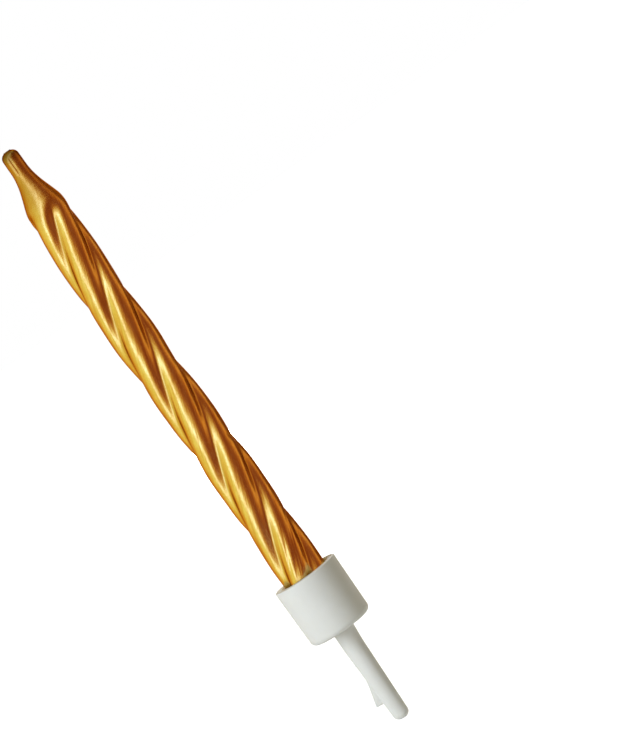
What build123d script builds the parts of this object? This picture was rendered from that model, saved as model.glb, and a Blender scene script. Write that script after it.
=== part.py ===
"""Spiral birthday candle standing in its moulded cake holder.

Millimetres, +Z up along the candle. The origin is the middle of the cup's underside, the face that
rests on the icing: the pick is below it, the cup and the candle above it.
"""

import os
from math import ceil, cos, exp, pi, radians, sin, tan

from build123d import *

# Candle, from its foot up
candle_foot_diameter = 5.7  # over the ridges
candle_neck_diameter = 5.25  # over the ridges, where the shoulder begins
body_length = 55.7
shoulder_length = 7.2
nub_length = 2.2
nub_diameter = 2.12
nub_round = 0.8

# Flutes, a right-handed twist
flute_count = 4
flute_depth = 0.6  # from ridge to groove
groove_focus = 1.1  # near 0 is a plain wave, more makes narrow grooves between broad ribs
flute_runout = 2.6  # how far up the shoulder the flutes fade away
twist_lead = 42.0  # height of one full turn
ridge_bearing = 20.0  # degrees from +X to a ridge at the foot

# Layers of the candle
coat_thickness = 0.15
wick_diameter = 1.0
wick_stub = 0.05  # bare end that shows above the coat
wick_end_round = 0.1

# Cup of the holder
socket_depth = 6.0
socket_clearance = 0.1  # around the ridges
seat_gap = 0.05  # under the candle's foot
mouth_chamfer = 0.2
cup_wall = 1.15
cup_floor = 1.6
cup_draft = 0.75  # degrees
cup_base_round = 0.7
cup_rim_round = 0.12

# Pick of the holder
pick_length = 12.6
pick_root_diameter = 2.72
pick_tip_diameter = 1.98
pick_tip_round = 0.75
pick_root_fillet = 0.25

# Scar of the moulding gate, a small fin on the side of the pick
gate_drop = 6.5  # from the cup's underside to the fin's upper end
gate_length = 3.4
gate_reach = 0.86  # proud of the pick at the fin's cut lower end
gate_thickness = 0.75

# Spacing of the outlines that the twisted surfaces pass through
body_step = 2.5
shoulder_step = 0.8
dome_steps = 4
lobe_spans = 8

# Places that follow from the sizes
foot_z = cup_floor + seat_gap
nub_top = body_length + shoulder_length + nub_length
cup_height = cup_floor + socket_depth
socket_radius = candle_foot_diameter / 2 + socket_clearance
rim_radius = socket_radius + cup_wall
base_radius = rim_radius - cup_height * tan(radians(cup_draft))


def pick_radius(drop):
    """Radius of the tapered pick at a drop below the cup's underside."""
    return (pick_root_diameter + (pick_tip_diameter - pick_root_diameter) * drop / pick_length) / 2


def groove_depth(height):
    """Depth of the flutes, full along the body and fading out up the shoulder."""
    up = min(max((height - body_length) / flute_runout, 0), 1)
    return flute_depth * (1 + cos(pi * up)) / 2


def groove_share(along):
    """1 in the middle of a groove, at whole numbers of flutes, and 0 on a ridge: a bell-shaped dip."""
    bell = exp(groove_focus * (cos(2 * pi * along) - 1))
    lowest = exp(-2 * groove_focus)
    return (bell - lowest) / (1 - lowest)


def outline(height, radius):
    """The candle's outline at a height above its foot: one spline from groove to groove to a flute."""
    lobe_turn = 2 * pi / flute_count
    first_groove = radians(ridge_bearing + 360 * height / twist_lead) - lobe_turn / 2
    lobes = []
    for flute in range(flute_count):
        points = []
        for step in range(lobe_spans + 1):
            along = flute + step / lobe_spans
            reach = radius - groove_depth(height) * groove_share(along)
            bearing = first_groove + lobe_turn * along
            points.append((reach * cos(bearing), reach * sin(bearing), foot_z + height))
        ends = [first_groove + lobe_turn * flute, first_groove + lobe_turn * (flute + 1)]
        lobes.append(Spline(*points, tangents=[(-sin(end), cos(end), 0) for end in ends]))
    return Face(Wire(lobes))


def outlines(inset):
    """The outlines of the whole candle, drawn in by an inset: body, shoulder and the nub's round end."""
    foot, neck, nub = candle_foot_diameter / 2, candle_neck_diameter / 2, nub_diameter / 2
    body_steps = ceil(body_length / body_step)
    shoulder_steps = ceil(shoulder_length / shoulder_step)
    faces = []
    for step in range(body_steps):
        up = step / body_steps
        faces.append(outline(body_length * up, foot + (neck - foot) * up - inset))
    for step in range(shoulder_steps + 1):
        up = step / shoulder_steps
        radius = nub + (neck - nub) * (1 + cos(pi * up)) / 2
        faces.append(outline(body_length + shoulder_length * up, radius - inset))
    for step in range(dome_steps + 1):
        turn = pi / 2 * step / dome_steps
        round_end = nub_round - inset
        height = nub_top - nub_round + round_end * sin(turn)
        faces.append(outline(height, nub - nub_round + round_end * cos(turn)))
    return faces


core_outlines = outlines(coat_thickness)
coat_outlines = outlines(0)

# Wick: a braided cotton string, the whole length of the candle
with BuildPart() as wick:
    with BuildSketch(Plane.XY.offset(foot_z)):
        Circle(wick_diameter / 2)
    extrude(amount=nub_top + wick_stub)
    fillet(wick.edges().sort_by(Axis.Z)[-1], wick_end_round)
wick.part.label = "wick"

# Wax core: the twisted stick under the coat, bored for the wick
with BuildPart() as wax_core:
    loft(core_outlines)
    add(wick.part, mode=Mode.SUBTRACT)
wax_core.part.label = "wax_core"

# Gold coat: the dipped skin, open at the foot and at the wick's bare end
with BuildPart() as gold_coat:
    loft(coat_outlines)
    add(wax_core.part, mode=Mode.SUBTRACT)
    add(wick.part, mode=Mode.SUBTRACT)
gold_coat.part.label = "gold_coat"

# Holder: cup, pick and gate scar in one moulding
with BuildPart() as holder:
    with BuildSketch(Plane.XZ):
        with BuildLine():
            Polyline(
                (0, 0),
                (base_radius, 0),
                (rim_radius, cup_height),
                (socket_radius, cup_height),
                (socket_radius, cup_floor),
                (0, cup_floor),
                close=True,
            )
        make_face()
    revolve(axis=Axis.Z)
    fillet(holder.edges().group_by(Axis.Z)[0], cup_base_round)
    mouth = holder.edges().filter_by(GeomType.CIRCLE).group_by(Axis.Z)[-1].sort_by(SortBy.RADIUS)
    chamfer(mouth[0], mouth_chamfer)
    fillet(mouth[-1], cup_rim_round)
    with BuildSketch(Plane.XZ):
        with BuildLine():
            Polyline(
                (0, 0),
                (pick_root_diameter / 2, 0),
                (pick_tip_diameter / 2, -pick_length),
                (0, -pick_length),
                close=True,
            )
        make_face()
    revolve(axis=Axis.Z)
    fillet(holder.edges().group_by(Axis.Z)[0], pick_tip_round)
    root = holder.edges().filter_by(GeomType.CIRCLE).filter_by_position(Axis.Z, 0, 0)
    fillet(root.sort_by(SortBy.RADIUS)[0], pick_root_fillet)
    with BuildSketch(Plane.XZ):
        with BuildLine():
            Polyline(
                (0, -gate_drop),
                (-pick_radius(gate_drop), -gate_drop),
                (-pick_radius(gate_drop + gate_length) - gate_reach, -gate_drop - gate_length),
                (0, -gate_drop - gate_length),
                close=True,
            )
        make_face()
    extrude(amount=gate_thickness / 2, both=True)
holder.part.label = "holder"

os.makedirs("parts", exist_ok=True)
export_step(holder.part, "parts/holder.step")
export_step(wax_core.part, "parts/wax_core.step")
export_step(gold_coat.part, "parts/gold_coat.step")
export_step(wick.part, "parts/wick.step")
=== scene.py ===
# %% [markdown]
# # A spiral birthday candle in its cake holder
# The real thing is a stick of wax about six centimetres tall. It was twisted while warm, dipped in gold
# lacquer and pushed into a small white plastic cup with a pick under it. Every surface here is a grid of
# points worked out from a formula, so the lesson is mostly about turning a formula into a mesh.

import bpy
import numpy as np
from mathutils import Matrix, Vector


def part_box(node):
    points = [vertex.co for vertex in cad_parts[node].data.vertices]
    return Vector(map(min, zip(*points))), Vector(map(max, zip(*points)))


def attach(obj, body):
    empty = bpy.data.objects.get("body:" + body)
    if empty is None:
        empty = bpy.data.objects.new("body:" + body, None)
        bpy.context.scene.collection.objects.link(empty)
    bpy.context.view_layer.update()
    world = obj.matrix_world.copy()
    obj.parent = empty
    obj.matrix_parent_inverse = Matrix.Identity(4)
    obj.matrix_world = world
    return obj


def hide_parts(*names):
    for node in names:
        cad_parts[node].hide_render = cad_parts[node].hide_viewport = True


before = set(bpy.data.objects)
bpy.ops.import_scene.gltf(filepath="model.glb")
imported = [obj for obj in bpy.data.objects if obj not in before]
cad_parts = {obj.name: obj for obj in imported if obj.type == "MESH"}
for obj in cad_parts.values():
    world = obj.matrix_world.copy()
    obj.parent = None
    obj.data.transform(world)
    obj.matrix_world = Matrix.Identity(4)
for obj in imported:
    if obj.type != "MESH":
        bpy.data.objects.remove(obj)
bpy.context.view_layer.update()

# %% [markdown]
# ## Sizes
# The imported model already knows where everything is, so the places come from it. The sizes that a box
# cannot tell, such as the depth of a flute, are written here once, in metres. Heights of the candle count
# from its foot, which stands on the floor of the cup.

# %% Places from the frame, and sizes that a box cannot tell
mm = 0.001
holder_low, holder_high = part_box("holder")
coat_low, coat_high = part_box("gold_coat")
wick_low, wick_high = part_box("wick")

foot_z = coat_low.z
pick_end_z = holder_low.z
rim_z = holder_high.z
rim_radius = holder_high.x
wick_radius = wick_high.x
wick_length = wick_high.z - wick_low.z

foot_radius, neck_radius, nub_radius = 2.85 * mm, 2.625 * mm, 1.06 * mm
body_length, shoulder_length, nub_length = 55.7 * mm, 7.2 * mm, 2.2 * mm
nub_top = body_length + shoulder_length + nub_length
nub_round = 0.8 * mm
flute_count = 4
flute_depth, flute_runout = 0.6 * mm, 2.6 * mm
groove_focus = 1.1
twist_lead = 42.0 * mm
ridge_bearing = np.radians(20.0)
coat_thickness = 0.15 * mm
candle_length = wick_high.z - foot_z
whole_length = wick_high.z - pick_end_z
print("candle", round(candle_length / mm, 2), "mm of", round(whole_length / mm, 2), "mm in all")

# %% [markdown]
# ## From a formula to a mesh
# All the pieces of a candle are rings stacked on each other, so one helper makes them all. It takes an
# array of points, one row for each ring, and joins every point to its neighbours. A stack can close on
# itself, like a pipe with a thick wall, or end in a single point at each end.


# %% Skin a stack of rings
def skin_rings(name, rings, ends):
    """Join rings of points (rows, columns, xyz) into a closed mesh.

    Columns run anticlockwise seen from above and join up all round. With ends "tube" the last ring joins
    the first one, as on a pipe with a wall. With ends "poles" each end ring closes on its middle point.
    """
    rows, columns, _ = rings.shape
    points = rings.reshape(-1, 3)
    index = np.arange(rows * columns).reshape(rows, columns)
    lower = index if ends == "tube" else index[:-1]
    upper = np.roll(index, -1, axis=0) if ends == "tube" else index[1:]
    quads = np.stack([lower, np.roll(lower, -1, 1), np.roll(upper, -1, 1), upper], axis=-1).reshape(-1, 4)
    corners, sizes = quads.ravel(), np.full(len(quads), 4)
    if ends == "poles":
        points = np.vstack([points, rings[0].mean(0), rings[-1].mean(0)])
        first, last = index[0], index[-1]
        pole = np.full(columns, rows * columns)
        low_fan = np.stack([pole, np.roll(first, -1), first], axis=-1)
        high_fan = np.stack([pole + 1, last, np.roll(last, -1)], axis=-1)
        corners = np.concatenate([corners, low_fan.ravel(), high_fan.ravel()])
        sizes = np.concatenate([sizes, np.full(2 * columns, 3)])
    mesh = bpy.data.meshes.new(name)
    mesh.vertices.add(len(points))
    mesh.vertices.foreach_set("co", points.astype(np.float32).ravel())
    mesh.loops.add(len(corners))
    mesh.loops.foreach_set("vertex_index", corners.astype(np.int32))
    mesh.polygons.add(len(sizes))
    mesh.polygons.foreach_set("loop_start", (np.cumsum(sizes) - sizes).astype(np.int32))
    mesh.update(calc_edges=True)
    mesh.polygons.foreach_set("use_smooth", np.ones(len(sizes), bool))
    piece = bpy.data.objects.new(name, mesh)
    bpy.context.scene.collection.objects.link(piece)
    print(name, len(points), "points", len(sizes), "faces")
    return piece


def keep_attribute(piece, name, kind, values):
    """Store one number or one vector for each ring point of the piece, for its material to read."""
    attribute = piece.data.attributes.new(name, kind, "POINT")
    width = 3 if kind == "FLOAT_VECTOR" else 1
    flat = np.zeros(len(piece.data.vertices) * width, np.float32)
    flat[: values.size] = values.ravel()
    attribute.data.foreach_set("vector" if width == 3 else "value", flat)


def smooth_step(low, high, x):
    """0 below low, 1 above high, and an S-shaped rise between them."""
    t = np.clip((x - low) / (high - low), 0, 1)
    return t * t * (3 - 2 * t)


# %% [markdown]
# ## The twisted stick
# A candle like this is extruded with four round ribs and turned about its own axis while it is soft. At
# each height the outline is a circle whose radius falls four times into a rounded groove between broad
# ribs. The bearing of the ribs grows with the height: that is the twist. The columns of the grid turn with
# the ribs, so a groove follows one column all the way up and no edge of the grid cuts across it.


# %% The shape of a true stick
def ridge_radius(height):
    """Radius over the ribs: a slight taper, half a cosine wave for the shoulder, then the round nub."""
    taper = foot_radius + (neck_radius - foot_radius) * height / body_length
    up = np.clip((height - body_length) / shoulder_length, 0, 1)
    shoulder = nub_radius + (neck_radius - nub_radius) * (1 + np.cos(np.pi * up)) / 2
    over = np.clip(height - (nub_top - nub_round), 0, nub_round)
    dome = nub_round - np.sqrt(nub_round**2 - over**2)
    return np.where(height < body_length, taper, shoulder - dome)


def grooves(column_angle):
    """1 in a groove and 0 on a ridge: the exponential of a cosine, which keeps the ribs broad."""
    bell = np.exp(-groove_focus * (1 + np.cos(flute_count * column_angle)))
    lowest = np.exp(-2 * groove_focus)
    return (bell - lowest) / (1 - lowest)


def twist(height):
    """Bearing of the first ridge, which grows steadily with the height."""
    return ridge_bearing + 2 * np.pi * height / twist_lead


bow_out, bow_back = 0.34 * mm, 0.27 * mm


def bow(height):
    """How far the axis strays along X: none near the cup, out along the middle, mostly back at the top."""
    out = bow_out * smooth_step(22 * mm, 41 * mm, height)
    back = bow_back * smooth_step(46 * mm, 60 * mm, height)
    return back - out


print("grooves", flute_count, "depth", round(flute_depth / mm, 2), "lead", round(twist_lead / mm, 1), "mm")


# %% [markdown]
# Real wax is never quite true. Slow waves make the stick lumpy, small dents and blisters are scattered over
# it, and the dipped wick shows through the thin nub as a crease beside a raised strand. Just above the cup
# the ribs carry short folds, from when the stick was pushed in.

# %% The faults of a real stick
chance = np.random.default_rng(11)
wave_count, mark_count, fold_count = 10, 46, 9
wave_height = 0.008 * mm
wave_turns = chance.integers(0, 5, wave_count)
wave_rises = chance.uniform(0.15, 1.1, wave_count) / mm
wave_starts = chance.uniform(0, 2 * np.pi, wave_count)
mark_bearings = chance.uniform(0, 2 * np.pi, mark_count)
mark_heights = chance.uniform(9 * mm, 57 * mm, mark_count)
mark_spreads = chance.uniform(0.1 * mm, 0.34 * mm, mark_count)
mark_rises = chance.uniform(-0.26, 0.14, mark_count) * mark_spreads
crease_bearing, crease_width, crease_depth = np.radians(-101), 0.11 * mm, 0.06 * mm
strand_bearing, strand_width, strand_rise = np.radians(-124), 0.17 * mm, 0.05 * mm
strand_start, strand_stop = (61.6 * mm, 62.6 * mm), (63.9 * mm, 64.6 * mm)
fold_width, fold_depth = 0.13 * mm, 0.05 * mm
fold_turns = chance.uniform(0, 2 * np.pi, fold_count)
fold_ends = chance.uniform(11 * mm, 17 * mm, fold_count)
print(wave_count, "waves,", mark_count, "marks and", fold_count, "folds")


def turn_between(bearing, other):
    """Signed angle from one bearing to another, between minus and plus half a turn."""
    return (bearing - other + np.pi) % (2 * np.pi) - np.pi


def faults(bearing, height, radius):
    """Sum of slow waves, small round marks, the crease and strand on the nub, and folds above the cup."""
    waves = sum(
        np.sin(turns * bearing + rise * height + start)
        for turns, rise, start in zip(wave_turns, wave_rises, wave_starts)
    )
    total = wave_height * waves
    marks = zip(mark_bearings, mark_heights, mark_spreads, mark_rises)
    for mark_bearing, mark_height, spread, rise in marks:
        along = radius * turn_between(bearing, mark_bearing)
        total = total + rise * np.exp(-(along**2 + (height - mark_height) ** 2) / (2 * spread**2))
    on_nub = smooth_step(*strand_start, height) * (1 - smooth_step(*strand_stop, height))
    crease = np.exp(-((radius * turn_between(bearing, crease_bearing) / crease_width) ** 2))
    strand = np.exp(-((radius * turn_between(bearing, strand_bearing) / strand_width) ** 2))
    total = total + on_nub * (strand_rise * strand - crease_depth * crease)
    for fold_turn, fold_end in zip(fold_turns, fold_ends):
        along = radius * turn_between(bearing - twist(height), fold_turn)
        fold = np.exp(-((along / fold_width) ** 2)) * (1 - smooth_step(0.6 * fold_end, fold_end, height))
        total = total - fold_depth * fold
    return total * smooth_step(rim_z - foot_z - 1 * mm, rim_z - foot_z + 2 * mm, height)


def column_grid(heights, columns):
    """Heights as a column, and for each of them the angles of the grid's columns before the twist."""
    return heights[:, None], np.linspace(0, 2 * np.pi, columns, endpoint=False)[None, :]


def stick_rings(heights, columns, inset):
    """Rings of the twisted stick drawn in by an inset, with the groove value and the untwisted places."""
    height, column_angle = column_grid(heights, columns)
    bearing = column_angle + twist(height)
    fade = (1 + np.cos(np.pi * np.clip((height - body_length) / flute_runout, 0, 1))) / 2
    groove = fade * grooves(column_angle)
    radius = ridge_radius(height) - flute_depth * groove - inset
    radius = radius + faults(bearing, height, radius)
    z = np.broadcast_to(height, radius.shape)
    places = np.stack([radius * np.cos(bearing) + bow(height), radius * np.sin(bearing), foot_z + z], -1)
    unwound = np.stack([radius * np.cos(column_angle), radius * np.sin(column_angle), z], -1)
    return places, groove, unwound


# %% [markdown]
# ## Gold coat
# The coat is a skin with an inner wall, so its rings go up the outside, over the dome to the wick and down
# the inside. The outside gets a ring about every tenth of a millimetre, and the hidden inside only a few.

# %% Build the gold coat
coat_columns = 152
wall_rings, dome_rings, inner_rings = 540, 13, 40
wall_top = nub_top - nub_round
lip_turn = np.arccos((wick_radius - nub_radius + nub_round) / nub_round)
dome_heights = wall_top + nub_round * np.sin(np.linspace(0, lip_turn, dome_rings))
inner_heights = np.linspace(wall_top, 0, inner_rings)
outer_heights = np.concatenate([np.linspace(0, wall_top, wall_rings)[:-1], dome_heights])
outer, outer_groove, outer_unwound = stick_rings(outer_heights, coat_columns, 0)
inner, inner_groove, inner_unwound = stick_rings(inner_heights, coat_columns, coat_thickness)
coat = skin_rings("coat", np.concatenate([outer, inner]), "tube")
keep_attribute(coat, "groove", "FLOAT", np.concatenate([outer_groove, inner_groove]))
keep_attribute(coat, "unwound", "FLOAT_VECTOR", np.concatenate([outer_unwound, inner_unwound]))
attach(coat, "candle")
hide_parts("gold_coat")


# %% [markdown]
# ## Wax
# The wax fills the coat and is bored for the wick. It only shows at the foot once the candle is pulled out.
# It could be a solid body with a hole cut in it. Rings that go up the outside and down the bore give the
# same closed shape without any cutting. The wax is drawn in a hair more than the coat's inner wall, so that
# the two surfaces don't coincide.


# %% Build the wax core
def round_rings(heights, radii):
    """Rings about the candle's bowed axis, whose columns turn with the ribs as the stick's do."""
    height, column_angle = column_grid(heights, radii.shape[1])
    bearing = column_angle + twist(height)
    z = np.broadcast_to(foot_z + height, radii.shape)
    return np.stack([radii * np.cos(bearing) + bow(height), radii * np.sin(bearing), z], -1)


core_rings, bore_rings = 120, 30
core_inset = 1.1 * coat_thickness
core_outer, _, _ = stick_rings(np.linspace(0, wall_top, core_rings), coat_columns, core_inset)
bore_heights = np.linspace(wall_top, 0, bore_rings)
core_bore = round_rings(bore_heights, np.full((bore_rings, coat_columns), wick_radius))
core = skin_rings("wax", np.concatenate([core_outer, core_bore]), "tube")
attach(core, "candle")
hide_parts("wax_core")

# %% [markdown]
# ## Wick
# The wick is a braided cotton string. Two sets of strands wind round it, one to the left and one to the
# right, and the higher one of the two shows. So the radius is the larger of two cosine waves, and no strand
# has to be modelled by itself.

# %% Build the wick
strand_pairs, strand_lead, end_round = 4, 5.0 * mm, 0.1 * mm
wick_columns = 96
string_share, braid_share = 0.95, 0.04
end_turn = np.radians(np.linspace(10, 90, 8))
stalk = np.concatenate([np.linspace(0, 1.5 * mm, 24), np.linspace(2 * mm, wick_length - end_round, 260)])
wick_heights = np.concatenate([stalk, wick_length - end_round + end_round * np.sin(end_turn)])
end_radii = wick_radius - end_round * (1 - np.cos(end_turn))
wick_radii = np.concatenate([np.full(len(stalk), wick_radius), end_radii])
height, column_angle = column_grid(wick_heights, wick_columns)
bearing = column_angle + twist(height)
climb = 2 * np.pi * height / strand_lead
braid = np.maximum(np.cos(strand_pairs * (bearing - climb)), np.cos(strand_pairs * (bearing + climb)))
wick_rings = round_rings(wick_heights, wick_radii[:, None] * (string_share + braid_share * braid))
wick = skin_rings("wick_string", wick_rings, "poles")
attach(wick, "candle")
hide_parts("wick")

# %% [markdown]
# ## Holder
# The holder is one moulding, and round, so its outline is a profile carried round the axis. The profile is
# a list of corners, each with its own rounding, and the helper puts an arc in place of every corner.


# %% Round the corners of a profile
def rounded_profile(corners, roundings, step):
    """Follow straight runs between (radius, height) corners, with an arc of the given radius at each.

    An arc of radius r at a corner whose runs turn by an angle a starts r * tan(a / 2) before the corner.
    """
    corners, pieces = np.array(corners), []
    for before, corner, after, rounding in zip(corners[:-2], corners[1:-1], corners[2:], roundings):
        enter = (corner - before) / np.linalg.norm(corner - before)
        leave = (after - corner) / np.linalg.norm(after - corner)
        turn = np.arctan2(enter[0] * leave[1] - enter[1] * leave[0], enter @ leave)
        inward = np.sign(turn) * np.array([-enter[1], enter[0]])
        start = corner - enter * rounding * np.tan(abs(turn) / 2)
        sweep = np.linspace(0, abs(turn), 9)[:, None]
        pieces.append(start + rounding * (enter * np.sin(sweep) + inward * (1 - np.cos(sweep))))
    path = np.vstack([corners[:1], *pieces, corners[-1:]])
    along = np.concatenate([[0], np.cumsum(np.linalg.norm(np.diff(path, axis=0), axis=1))])
    places = np.union1d(along, np.arange(0, along[-1], step))
    return np.interp(places, along, path[:, 0]), np.interp(places, along, path[:, 1])


# %% [markdown]
# The profile starts at the pick's tip, goes up the pick, out under the cup, up the wall, over the rim and
# down into the socket. The thorn on the pick is where the moulding was broken off its runner. It is not a
# piece of its own, so there the same surface is pulled sideways.

# %% Build the holder
seat_gap, socket_clearance = 0.05 * mm, 0.1 * mm
mouth_chamfer, wall_draft = 0.2 * mm, 0.1 * mm
cup_floor_z = foot_z - seat_gap
socket_radius = foot_radius + socket_clearance
base_radius = rim_radius - wall_draft
pick_root_radius, pick_tip_radius = 1.36 * mm, 0.99 * mm
near_axis = 0.02 * mm
tip_round, root_round, base_round, rim_round = 0.75 * mm, 0.25 * mm, 0.7 * mm, 0.12 * mm
chamfer_round, floor_round = 0.05 * mm, 0.1 * mm
profile_step, holder_columns = 0.085 * mm, 200
profile_radius, profile_z = rounded_profile(
    [
        (near_axis, pick_end_z),
        (pick_tip_radius, pick_end_z),
        (pick_root_radius, 0),
        (base_radius, 0),
        (rim_radius, rim_z),
        (socket_radius + mouth_chamfer, rim_z),
        (socket_radius, rim_z - mouth_chamfer),
        (socket_radius, cup_floor_z),
        (near_axis, cup_floor_z),
    ],
    [tip_round, root_round, base_round, rim_round, chamfer_round, chamfer_round, floor_round],
    profile_step,
)
bearing = np.linspace(0, 2 * np.pi, holder_columns, endpoint=False)[None, :]
x = profile_radius[:, None] * np.cos(bearing)
y = profile_radius[:, None] * np.sin(bearing)
z = np.broadcast_to(profile_z[:, None], x.shape)

gate_top_z, gate_length, gate_reach, gate_half = -6.5 * mm, 3.4 * mm, 0.86 * mm, 0.375 * mm
gate_droop, pick_lean, lean_length = 0.16 * mm, 0.1 * mm, 3 * mm
round_from, round_share = 0.93, 0.07
full_reach, slope_power = 0.88, 1.2
down = (gate_top_z - z) / gate_length
round_end = np.sqrt(1 - np.clip((down - round_from) / round_share, 0, 1) ** 2)
across = 1 - smooth_step(0.7 * gate_half, 1.4 * gate_half, np.abs(y))
thorn = np.clip(down / full_reach, 0, 1) ** slope_power * round_end * across * (x < 0)
x = x - gate_reach * thorn
z = z - gate_droop * thorn**2
x = x - pick_lean * smooth_step(0, lean_length, -z)
holder = skin_rings("cup_and_pick", np.stack([x, y, z], -1), "poles")
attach(holder, "holder")
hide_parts("holder")


# %% [markdown]
# ## Finishes
# A finish is a small network of shader nodes. The same few steps come back in all of them: start a
# material, add a node, mix two colours, stretch a range. So these steps are functions first.


# %% Helpers for materials
def new_material(name):
    """An empty material with its shader, its nodes and a helper that joins two sockets."""
    material = bpy.data.materials.new(name)
    material.use_nodes = True
    tree = material.node_tree
    return material, tree.nodes["Principled BSDF"], tree.nodes, tree.links.new


def add_node(nodes, kind, values, **settings):
    """Add a shader node, apply its settings and fill in the sockets named in values."""
    node = nodes.new("ShaderNode" + kind)
    for name, setting in settings.items():
        setattr(node, name, setting)
    for name, value in values.items():
        node.inputs[name].default_value = value
    return node


def mix_colours(nodes, join, factor, first, second):
    """A node that goes from the first colour to the second as the factor grows."""
    mix = add_node(nodes, "Mix", {}, data_type="RGBA")
    join(factor, mix.inputs["Factor"])
    for socket, colour in ((mix.inputs[6], first), (mix.inputs[7], second)):
        if isinstance(colour, tuple):
            socket.default_value = colour
        else:
            join(colour, socket)
    return mix.outputs[2]


def remap(nodes, join, value, low, high, first, second):
    """A node that runs from a first to a second value while its input goes from low to high."""
    ranges = {"From Min": low, "From Max": high, "To Min": first, "To Max": second}
    node = add_node(nodes, "MapRange", ranges)
    join(value, node.inputs["Value"])
    return node.outputs["Result"]


# %% [markdown]
# No surface of the candle is even: each one has soft patches and a finer grain. Every finish needs both, in
# sizes of its own, so they are made once as a node group and placed in each material. The group only puts
# out two masks, and the shaders stay in the materials.

# %% Patches and grain
unevenness = bpy.data.node_groups.new("patches_and_grain", "ShaderNodeTree")
for name in ("Patches per metre", "Grains per metre"):
    unevenness.interface.new_socket(name, in_out="INPUT", socket_type="NodeSocketFloat")
for name in ("Patches", "Grain"):
    unevenness.interface.new_socket(name, in_out="OUTPUT", socket_type="NodeSocketFloat")
group_in = unevenness.nodes.new("NodeGroupInput")
group_out = unevenness.nodes.new("NodeGroupOutput")
place = add_node(unevenness.nodes, "TexCoord", {})
for source, target, detail in (("Patches per metre", "Patches", 4), ("Grains per metre", "Grain", 3)):
    noise = add_node(unevenness.nodes, "TexNoise", {"Detail": detail, "Roughness": 0.6})
    unevenness.links.new(place.outputs["Object"], noise.inputs["Vector"])
    unevenness.links.new(group_in.outputs[source], noise.inputs["Scale"])
    unevenness.links.new(noise.outputs["Fac"], group_out.inputs[target])


def patches_and_grain(nodes, patch_size, grain_size):
    """Place the group for a patch size and a grain size in metres, and give back its two masks."""
    node = add_node(nodes, "Group", {}, node_tree=unevenness)
    node.inputs["Patches per metre"].default_value = 1 / patch_size
    node.inputs["Grains per metre"].default_value = 1 / grain_size
    return node.outputs["Patches"], node.outputs["Grain"]


print("node group", unevenness.name, "with", len(unevenness.nodes), "nodes")


# %% [markdown]
# Gold lacquer is a varnish full of metal flakes. Its colour is made a little darker in the grooves, which
# is painted shade, and much darker towards the wick, darkest at the top of the nub. The die that drew the
# stick left fine lines along the ribs. Those lines follow the untwisted places that were stored with the
# coat, so they need no picture. The specular tint makes the edges brown.


# %% Gold lacquer
light_gold, deep_gold = (0.82, 0.67, 0.28, 1), (0.76, 0.57, 0.19, 1)
# The dark brown for the grooves is painted shade, not a colour of the lacquer.
line_brown, painted_groove_shade_brown = (0.66, 0.4, 0.1, 1), (0.26, 0.1, 0.012, 1)
tip_brown, top_dark_brown = (0.44, 0.22, 0.03, 1), (0.13, 0.08, 0.02, 1)
edge_brown = (0.5, 0.22, 0.06, 1)
tip_share = 0.68


def gold_lacquer():
    """Metal whose gold varies with patches, drawing lines, painted groove shade and the height above the
    cup.
    """
    material, shader, nodes, join = new_material("gold_lacquer")
    patches, grain = patches_and_grain(nodes, 1.2 * mm, 0.15 * mm)
    unwound = add_node(nodes, "Attribute", {}, attribute_name="unwound")
    stretch = add_node(nodes, "Mapping", {"Scale": (1, 1, 0.06)})
    streaks = add_node(nodes, "TexNoise", {"Scale": 2600, "Detail": 2, "Roughness": 0.55})
    join(unwound.outputs["Vector"], stretch.inputs["Vector"])
    join(stretch.outputs["Vector"], streaks.inputs["Vector"])

    groove = add_node(nodes, "Attribute", {}, attribute_name="groove")
    place = add_node(nodes, "TexCoord", {})
    height = add_node(nodes, "SeparateXYZ", {})
    join(place.outputs["Object"], height.inputs["Vector"])
    patchy = remap(nodes, join, patches, 0.35, 0.68, 0, 1)
    streaky = remap(nodes, join, streaks.outputs["Fac"], 0.44, 0.6, 0, 0.5)
    # Painted shade: the colour turns dark brown towards the middle of each groove.
    painted_groove_shade = remap(nodes, join, groove.outputs["Fac"], 0.8, 1, 0, 0.2)
    # Darker and rougher towards the wick, from the shoulder up.
    tip = remap(nodes, join, height.outputs["Z"], 57 * mm, 61.5 * mm, 0, tip_share)
    # Darker still at the top of the nub, round the wick.
    darkest_top = remap(nodes, join, height.outputs["Z"], 65.2 * mm, 66.4 * mm, 0, 0.85)
    gold = mix_colours(nodes, join, patchy, light_gold, deep_gold)
    gold = mix_colours(nodes, join, streaky, gold, line_brown)
    # Mix in the painted groove shade.
    gold = mix_colours(nodes, join, painted_groove_shade, gold, painted_groove_shade_brown)
    gold = mix_colours(nodes, join, tip, gold, tip_brown)
    gold = mix_colours(nodes, join, darkest_top, gold, top_dark_brown)
    join(gold, shader.inputs["Base Color"])

    dull = add_node(nodes, "Math", {}, operation="ADD")
    join(remap(nodes, join, grain, 0.3, 0.7, 0.14, 0.26), dull.inputs[0])
    join(remap(nodes, join, tip, 0, tip_share, 0, 0.08), dull.inputs[1])
    join(dull.outputs[0], shader.inputs["Roughness"])
    lines = add_node(nodes, "Bump", {"Strength": 0.22, "Distance": 0.1 * mm})
    join(streaks.outputs["Fac"], lines.inputs["Height"])
    flakes = add_node(nodes, "Bump", {"Strength": 0.6, "Distance": 0.03 * mm})
    join(grain, flakes.inputs["Height"])
    join(lines.outputs["Normal"], flakes.inputs["Normal"])
    join(flakes.outputs["Normal"], shader.inputs["Normal"])
    shader.inputs["Metallic"].default_value = 1
    shader.inputs["Specular Tint"].default_value = edge_brown
    return material


coat.data.materials.append(gold_lacquer())
print(coat.name, "wears", coat.data.materials[0].name)


# %% [markdown]
# The holder is white polypropylene, satin and slightly milky: light goes a little way into it. Wax is
# milkier still. Cotton is rough, and its fibres run along the strands.


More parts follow.
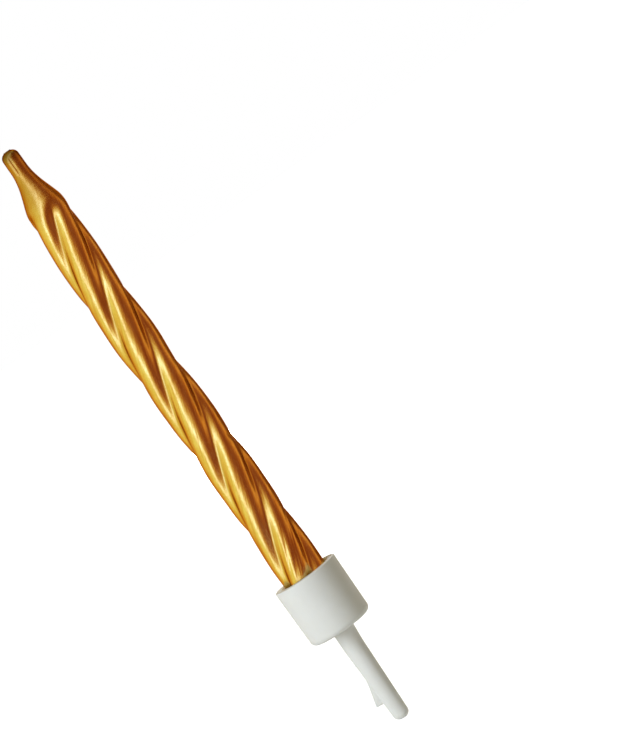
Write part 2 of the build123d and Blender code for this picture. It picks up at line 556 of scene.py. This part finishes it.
# %% White plastic, wax and cotton
def pale(name, first, second, patch_size, roughness, bump, depth):
    """A pale finish: patches of two colours, a fine bump, and light that goes in to a small depth."""
    material, shader, nodes, join = new_material(name)
    patches, grain = patches_and_grain(nodes, patch_size, patch_size / 6)
    join(mix_colours(nodes, join, patches, first, second), shader.inputs["Base Color"])
    join(remap(nodes, join, grain, 0, 1, roughness - 0.06, roughness + 0.06), shader.inputs["Roughness"])
    relief = add_node(nodes, "Bump", {"Strength": bump, "Distance": 0.03 * mm})
    join(grain, relief.inputs["Height"])
    join(relief.outputs["Normal"], shader.inputs["Normal"])
    shader.inputs["Specular IOR Level"].default_value = 0.2
    shader.inputs["Subsurface Weight"].default_value = 0.25 if depth else 0
    shader.inputs["Subsurface Radius"].default_value = (depth, depth * 0.9, depth * 0.75)
    shader.inputs["Subsurface Scale"].default_value = 1
    return material


holder.data.materials.append(
    pale("white_plastic", (0.8, 0.8, 0.78, 1), (0.76, 0.76, 0.73, 1), 1.5 * mm, 0.6, 0.12, 0.6 * mm))
core.data.materials.append(
    pale("wax", (0.9, 0.83, 0.66, 1), (0.82, 0.74, 0.56, 1), 1.2 * mm, 0.5, 0.3, 1.2 * mm))
wick.data.materials.append(
    pale("cotton", (0.36, 0.26, 0.12, 1), (0.2, 0.12, 0.04, 1), 0.3 * mm, 0.85, 0.8, 0))
for piece in (holder, core, wick):
    print(piece.name, "wears", piece.data.materials[0].name)

# %% [markdown]
# ## Camera
# The candle is seen almost square from the side, its wick end leaning a little towards the lens, and it
# lies 35 degrees across the frame. So the camera stands just above level and rolls. It is set from two
# pixels of the picture, the wick's end and the middle of the cup's underside, which is the origin.

# %% Camera
picture_width, picture_height = 626, 732
wick_pixel, seat_pixel = np.array([8.7, 151.5]), np.array([342.2, 627.8])
pixel_size = 0.115 * mm
elevation, distance = np.radians(4.0), 0.5

axis = (wick_pixel - seat_pixel) / np.linalg.norm(wick_pixel - seat_pixel)
to_camera = np.array([0, -np.cos(elevation), np.sin(elevation)])
level_right, level_up = np.array([1.0, 0, 0]), np.array([0, np.sin(elevation), np.cos(elevation)])
picture_right = -axis[1] * level_right + axis[0] * level_up
picture_up = -axis[0] * level_right - axis[1] * level_up
seat_right = (seat_pixel[0] - picture_width / 2) * pixel_size
seat_up = (picture_height / 2 - seat_pixel[1]) * pixel_size


def aim(name, data, place, right, up, back):
    """Add a camera or lamp at a place, looking against its back direction."""
    thing = bpy.data.objects.new(name, data)
    turn = Matrix(np.column_stack([right, up, back]).tolist()).to_4x4()
    thing.matrix_world = Matrix.Translation(Vector(place)) @ turn
    bpy.context.scene.collection.objects.link(thing)
    return thing


lens = bpy.data.cameras.new("camera")
lens.sensor_width = 36
lens.lens = lens.sensor_width * distance / (picture_height * pixel_size)
lens.clip_start, lens.clip_end = 0.01, 10
camera_place = to_camera * distance - picture_right * seat_right - picture_up * seat_up
bpy.context.scene.camera = aim("camera", lens, camera_place, picture_right, picture_up, to_camera)
print("lens", round(lens.lens, 1), "mm")


# %% [markdown]
# ## Studio
# The candle is shown on a plain white ground. The floor and the world are white for the camera and for
# mirror rays, and the world is dimmer and warmer as a light, so the white takes no light to make.


# %% White floor and world
def white_rays(nodes, join):
    """1 for rays from the camera, mirrors and clear things, 0 for rays that only gather light."""
    ray = add_node(nodes, "LightPath", {})
    mirror = add_node(nodes, "Math", {}, operation="MAXIMUM")
    seen = add_node(nodes, "Math", {}, operation="MAXIMUM")
    join(ray.outputs["Is Glossy Ray"], mirror.inputs[0])
    join(ray.outputs["Is Transmission Ray"], mirror.inputs[1])
    join(mirror.outputs[0], seen.inputs[0])
    join(ray.outputs["Is Camera Ray"], seen.inputs[1])
    return seen.outputs[0]


floor_mesh = bpy.data.meshes.new("floor")
floor_z = pick_end_z - 0.02 * mm
floor_half = 2
floor_turns = ((-1, -1), (1, -1), (1, 1), (-1, 1))
floor_corners = [(floor_half * right, floor_half * back, floor_z) for right, back in floor_turns]
floor_mesh.from_pydata(floor_corners, [], [(0, 1, 2, 3)])
floor = bpy.data.objects.new("floor", floor_mesh)
bpy.context.scene.collection.objects.link(floor)
material, shader, nodes, join = new_material("floor")
shader.inputs["Base Color"].default_value = (0.9, 0.9, 0.9, 1)
shader.inputs["Roughness"].default_value = 0.9
shader.inputs["Emission Color"].default_value = (1, 1, 1, 1)
join(remap(nodes, join, white_rays(nodes, join), 0, 1, 0, 0.9), shader.inputs["Emission Strength"])
floor_mesh.materials.append(material)

world = bpy.data.worlds.new("world")
bpy.context.scene.world = world
world.use_nodes = True
nodes, join = world.node_tree.nodes, world.node_tree.links.new
sky = mix_colours(nodes, join, white_rays(nodes, join), (0.165, 0.15, 0.08, 1), (1, 1, 1, 1))
join(sky, nodes["Background"].inputs["Color"])
print("floor at", round(floor_z / mm, 2), "mm")

# %% [markdown]
# One tall soft lamp stands at picture left, and a low wide one lights the back. They shape the matt holder.
# Mirrors don't show them, because a lamp in the gold would be one more stripe.

# %% Lamps
middle = np.array([0, 0, 0.03])


def around(azimuth):
    """Directions from the candle at angles from the camera towards picture right."""
    angle = np.radians(azimuth)[..., None]
    return np.sin(angle) * picture_right + np.cos(angle) * to_camera


def soft_lamp(name, back, up, width, height, power, colour):
    """A rectangular lamp half a metre away along its back direction, which mirrors don't show."""
    data = bpy.data.lights.new(name, "AREA")
    data.shape = "RECTANGLE"
    data.size, data.size_y, data.energy = width, height, power
    data.color = colour
    lamp = aim(name, data, middle + 0.5 * back, np.cross(up, back), up, back)
    lamp.visible_camera = False
    lamp.visible_glossy = False


upright = np.array([0.0, 0, 1])
cool, warm = (0.86, 0.92, 1), (1, 0.97, 0.9)
behind = np.array([0.4, 0.9, 0]) / np.hypot(0.4, 0.9)
soft_lamp("key", around(-48), picture_up, 0.2, 0.5, 2.4, cool)
soft_lamp("back", behind, upright, 0.5, 0.08, 2.0, warm)
print("lamps", [lamp.name for lamp in bpy.data.lights])

# %% [markdown]
# What makes gold look like gold is what it mirrors. In a pile of candles that is mostly other gold. So a
# glowing wall and floor, which are no lamps, stand round the candle where only mirror rays see them: a
# painted reflection with a white highlight stripe in a broad yellow on one side, and brown on the other.
# Each stop below is an angle from the camera towards picture right, in degrees, and the glow in red, green
# and blue.

# %% Glowing sheets for painted reflections
glow_stops = np.array([
    (-180, 2.0, 2.0, 1.9), (-172, 2.0, 2.0, 1.9), (-165, 0.85, 0.48, 0.13), (-150, 0.82, 0.4, 0.08),
    (-125, 0.88, 0.52, 0.12), (-90, 0.95, 0.78, 0.24), (-70, 0.98, 0.88, 0.32), (-50, 1.0, 0.94, 0.43),
    (-40, 1.08, 1.06, 0.62), (-33, 1.75, 1.92, 2.5), (-26, 1.75, 1.92, 2.5), (-18, 1.06, 0.98, 0.55),
    (-8, 0.92, 0.7, 0.28), (3, 0.62, 0.3, 0.08), (15, 0.42, 0.13, 0.04), (28, 0.26, 0.07, 0.028),
    (50, 0.3, 0.08, 0.03), (70, 0.42, 0.13, 0.035), (92, 0.85, 0.38, 0.1), (102, 0.85, 0.38, 0.1),
    (113, 0.16, 0.04, 0.014), (130, 0.16, 0.04, 0.014), (145, 0.4, 0.14, 0.035), (165, 0.45, 0.2, 0.05),
    (172, 2.0, 2.0, 1.9), (180, 2.0, 2.0, 1.9),
])

painted_reflection_material, shader, nodes, join = new_material("painted_reflection_sheet")
shader.inputs["Base Color"].default_value = (0, 0, 0, 1)
shader.inputs["Specular IOR Level"].default_value = 0
# The sheets glow though they are no lamps: a painted reflection and painted highlight for mirror rays only.
shader.inputs["Emission Strength"].default_value = 1
glow = add_node(nodes, "Attribute", {}, attribute_name="glow")
join(glow.outputs["Color"], shader.inputs["Emission Color"])


def painted_reflection_sheet(name, grid):
    """A sheet through a grid of points, whose glow follows the angle from the camera round the candle."""
    rows, columns, _ = grid.shape
    index = np.arange(rows * columns).reshape(rows, columns)
    quads = np.stack([index[:-1, :-1], index[:-1, 1:], index[1:, 1:], index[1:, :-1]], -1).reshape(-1, 4)
    points = grid.reshape(-1, 3)
    mesh = bpy.data.meshes.new(name)
    mesh.from_pydata(points.tolist(), [], quads.tolist())
    angle = np.degrees(np.arctan2((points - middle) @ picture_right, (points - middle) @ to_camera))
    colour = np.ones((len(points), 4), np.float32)
    for channel in range(3):
        colour[:, channel] = np.interp(angle, glow_stops[:, 0], glow_stops[:, channel + 1])
    mesh.attributes.new("glow", "FLOAT_COLOR", "POINT").data.foreach_set("color", colour.ravel())
    mesh.materials.append(painted_reflection_material)
    sheet = bpy.data.objects.new(name, mesh)
    bpy.context.scene.collection.objects.link(sheet)
    # Only mirror rays see the glowing sheet, so it paints reflections and casts no light or shadow.
    sheet.visible_camera = False
    sheet.visible_diffuse = False
    sheet.visible_transmission = False
    sheet.visible_shadow = False
    print(name, len(points), "points")


wall_reach, wall_half = 0.6, 3
sweep = np.linspace(-179.9, 179.9, 361)
wall_ring = middle + wall_reach * around(sweep)
wall_rise = wall_half * picture_up
painted_reflection_sheet("painted_reflection_wall", np.stack([wall_ring - wall_rise, wall_ring + wall_rise]))
floor_start, floor_growth, floor_rings = 0.035, 24, 40
floor_reach = floor_start * floor_growth ** np.linspace(0, 1, floor_rings)[:, None]
floor_turn = np.radians(sweep)[None, :]
floor_x = floor_reach * np.cos(floor_turn)
floor_y = floor_reach * np.sin(floor_turn)
painted_reflection_sheet("painted_reflection_floor", np.stack([floor_x, floor_y, np.full(floor_x.shape, floor_z + 0.1 * mm)], -1))

bpy.context.scene.view_settings.view_transform = "Standard"
